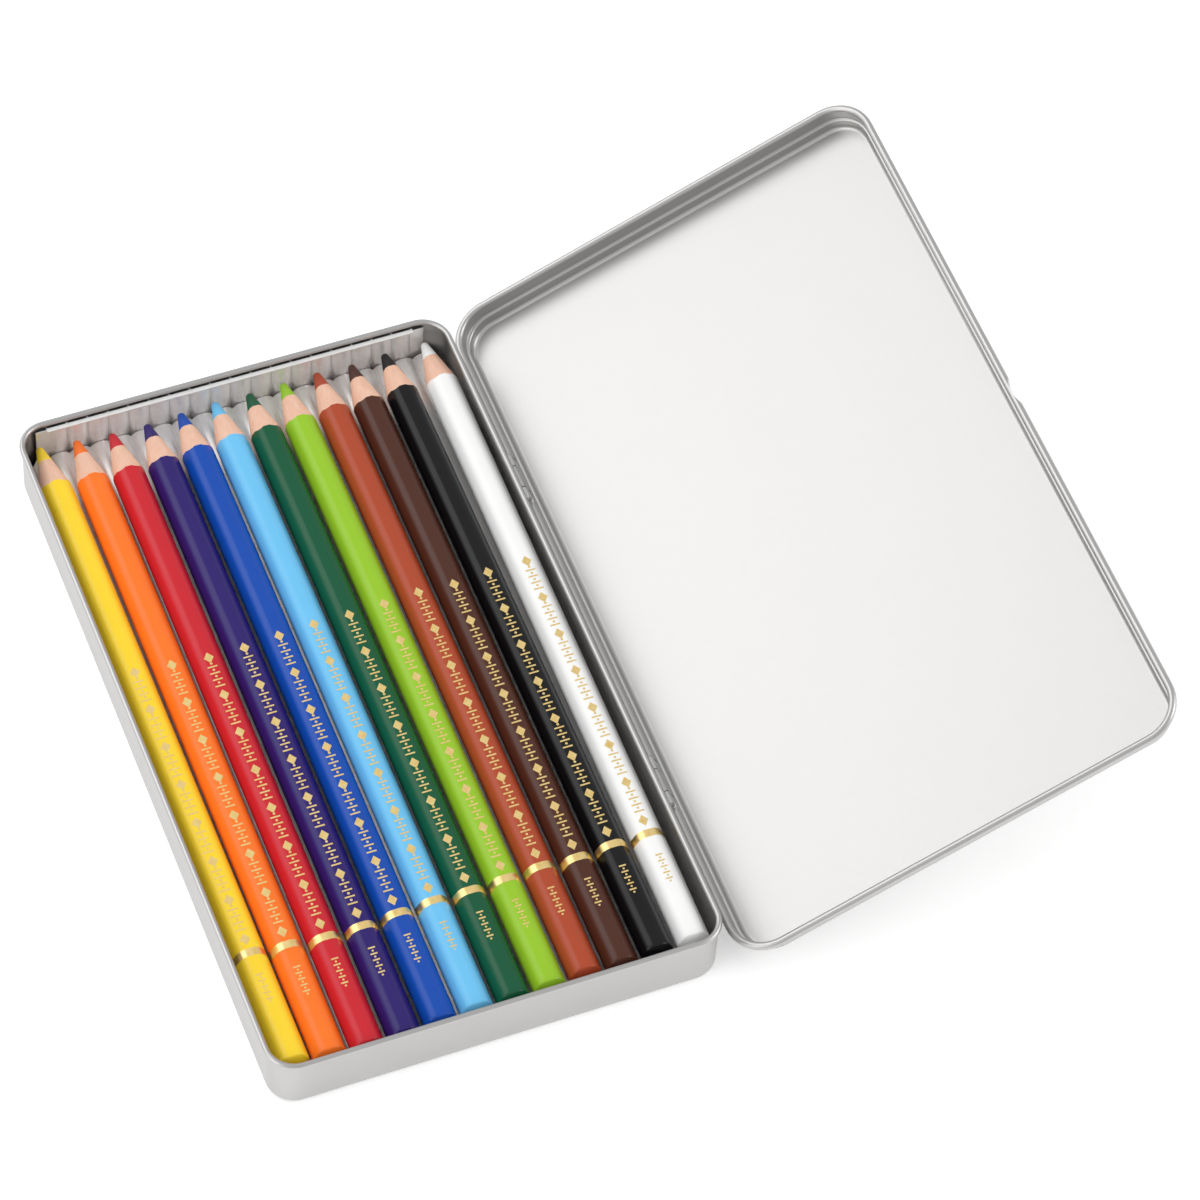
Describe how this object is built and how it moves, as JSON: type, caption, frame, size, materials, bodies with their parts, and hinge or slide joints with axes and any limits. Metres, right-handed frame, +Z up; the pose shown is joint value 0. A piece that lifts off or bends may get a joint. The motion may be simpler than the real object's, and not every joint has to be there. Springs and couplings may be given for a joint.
{
  "type": "colored pencil tin",
  "caption": "Flat hinged sheet-metal pencil tin, lid open, with a fluted liner and a row of sharpened colored pencils.",
  "frame": {"origin": "middle of the base's underside", "axes": "+X across the tin towards the hinges, +Y along the pencils towards their points, +Z up"},
  "size_m": [0.208, 0.188, 0.0534],
  "materials": {
    "tin_steel": "satin silver-white coating on sheet steel",
    "hinge_steel": "plain stamped steel",
    "pin_wire": "drawn wire",
    "liner_film": "pearly silver-white formed sheet",
    "gold_foil": "bright hot-stamped foil",
    "lacquer_yellow": "glossy lacquer on wood, bare at the sharpened cone",
    "lacquer_orange": "glossy lacquer on wood, bare at the sharpened cone",
    "lacquer_red": "glossy lacquer on wood, bare at the sharpened cone",
    "lacquer_violet": "glossy lacquer on wood, bare at the sharpened cone",
    "lacquer_blue": "glossy lacquer on wood, bare at the sharpened cone",
    "lacquer_sky_blue": "glossy lacquer on wood, bare at the sharpened cone",
    "lacquer_dark_green": "glossy lacquer on wood, bare at the sharpened cone",
    "lacquer_yellow_green": "glossy lacquer on wood, bare at the sharpened cone",
    "lacquer_terracotta": "glossy lacquer on wood, bare at the sharpened cone",
    "lacquer_dark_brown": "glossy lacquer on wood, bare at the sharpened cone",
    "lacquer_black": "glossy lacquer on wood, bare at the sharpened cone",
    "lacquer_white": "glossy lacquer on wood, bare at the sharpened cone",
    "pigment_yellow": "waxy pigment core",
    "pigment_orange": "waxy pigment core",
    "pigment_red": "waxy pigment core",
    "pigment_violet": "waxy pigment core",
    "pigment_blue": "waxy pigment core",
    "pigment_sky_blue": "waxy pigment core",
    "pigment_dark_green": "waxy pigment core",
    "pigment_yellow_green": "waxy pigment core",
    "pigment_terracotta": "waxy pigment core",
    "pigment_dark_brown": "waxy pigment core",
    "pigment_black": "waxy pigment core",
    "pigment_white": "waxy pigment core"
  },
  "bodies": {
    "base": {"base_tray": "tin_steel", "hinge_leaf_near": "hinge_steel", "hinge_leaf_far": "hinge_steel", "hinge_pin_near": "pin_wire", "hinge_pin_far": "pin_wire", "liner_bed": "liner_film", "liner_end": "liner_film"},
    "lid": {"lid": "tin_steel"},
    "pencil_yellow": {"casing_yellow": "lacquer_yellow", "core_yellow": "pigment_yellow", "band_yellow": "gold_foil"},
    "pencil_orange": {"casing_orange": "lacquer_orange", "core_orange": "pigment_orange", "band_orange": "gold_foil"},
    "pencil_red": {"casing_red": "lacquer_red", "core_red": "pigment_red", "band_red": "gold_foil"},
    "pencil_violet": {"casing_violet": "lacquer_violet", "core_violet": "pigment_violet", "band_violet": "gold_foil"},
    "pencil_blue": {"casing_blue": "lacquer_blue", "core_blue": "pigment_blue", "band_blue": "gold_foil"},
    "pencil_sky_blue": {"casing_sky_blue": "lacquer_sky_blue", "core_sky_blue": "pigment_sky_blue", "band_sky_blue": "gold_foil"},
    "pencil_dark_green": {"casing_dark_green": "lacquer_dark_green", "core_dark_green": "pigment_dark_green", "band_dark_green": "gold_foil"},
    "pencil_yellow_green": {"casing_yellow_green": "lacquer_yellow_green", "core_yellow_green": "pigment_yellow_green", "band_yellow_green": "gold_foil"},
    "pencil_terracotta": {"casing_terracotta": "lacquer_terracotta", "core_terracotta": "pigment_terracotta", "band_terracotta": "gold_foil"},
    "pencil_dark_brown": {"casing_dark_brown": "lacquer_dark_brown", "core_dark_brown": "pigment_dark_brown", "band_dark_brown": "gold_foil"},
    "pencil_black": {"casing_black": "lacquer_black", "core_black": "pigment_black", "band_black": "gold_foil"},
    "pencil_white": {"casing_white": "lacquer_white", "core_white": "pigment_white", "band_white": "gold_foil"}
  },
  "joints": [
    {"name": "lid_hinge", "type": "hinge", "parent": "base", "child": "lid", "pos_m": [0.05455, 0, 0.00885], "axis": [0, 1, 0], "range_deg": [-155.5, 0]},
    {"name": "lift_yellow", "type": "slide", "parent": "base", "child": "pencil_yellow", "axis": [0, 0, 1], "range_m": [0, 0.03]},
    {"name": "lift_orange", "type": "slide", "parent": "base", "child": "pencil_orange", "axis": [0, 0, 1], "range_m": [0, 0.03]},
    {"name": "lift_red", "type": "slide", "parent": "base", "child": "pencil_red", "axis": [0, 0, 1], "range_m": [0, 0.03]},
    {"name": "lift_violet", "type": "slide", "parent": "base", "child": "pencil_violet", "axis": [0, 0, 1], "range_m": [0, 0.03]},
    {"name": "lift_blue", "type": "slide", "parent": "base", "child": "pencil_blue", "axis": [0, 0, 1], "range_m": [0, 0.03]},
    {"name": "lift_sky_blue", "type": "slide", "parent": "base", "child": "pencil_sky_blue", "axis": [0, 0, 1], "range_m": [0, 0.03]},
    {"name": "lift_dark_green", "type": "slide", "parent": "base", "child": "pencil_dark_green", "axis": [0, 0, 1], "range_m": [0, 0.03]},
    {"name": "lift_yellow_green", "type": "slide", "parent": "base", "child": "pencil_yellow_green", "axis": [0, 0, 1], "range_m": [0, 0.03]},
    {"name": "lift_terracotta", "type": "slide", "parent": "base", "child": "pencil_terracotta", "axis": [0, 0, 1], "range_m": [0, 0.03]},
    {"name": "lift_dark_brown", "type": "slide", "parent": "base", "child": "pencil_dark_brown", "axis": [0, 0, 1], "range_m": [0, 0.03]},
    {"name": "lift_black", "type": "slide", "parent": "base", "child": "pencil_black", "axis": [0, 0, 1], "range_m": [0, 0.03]},
    {"name": "lift_white", "type": "slide", "parent": "base", "child": "pencil_white", "axis": [0, 0, 1], "range_m": [0, 0.03]}
  ]
}
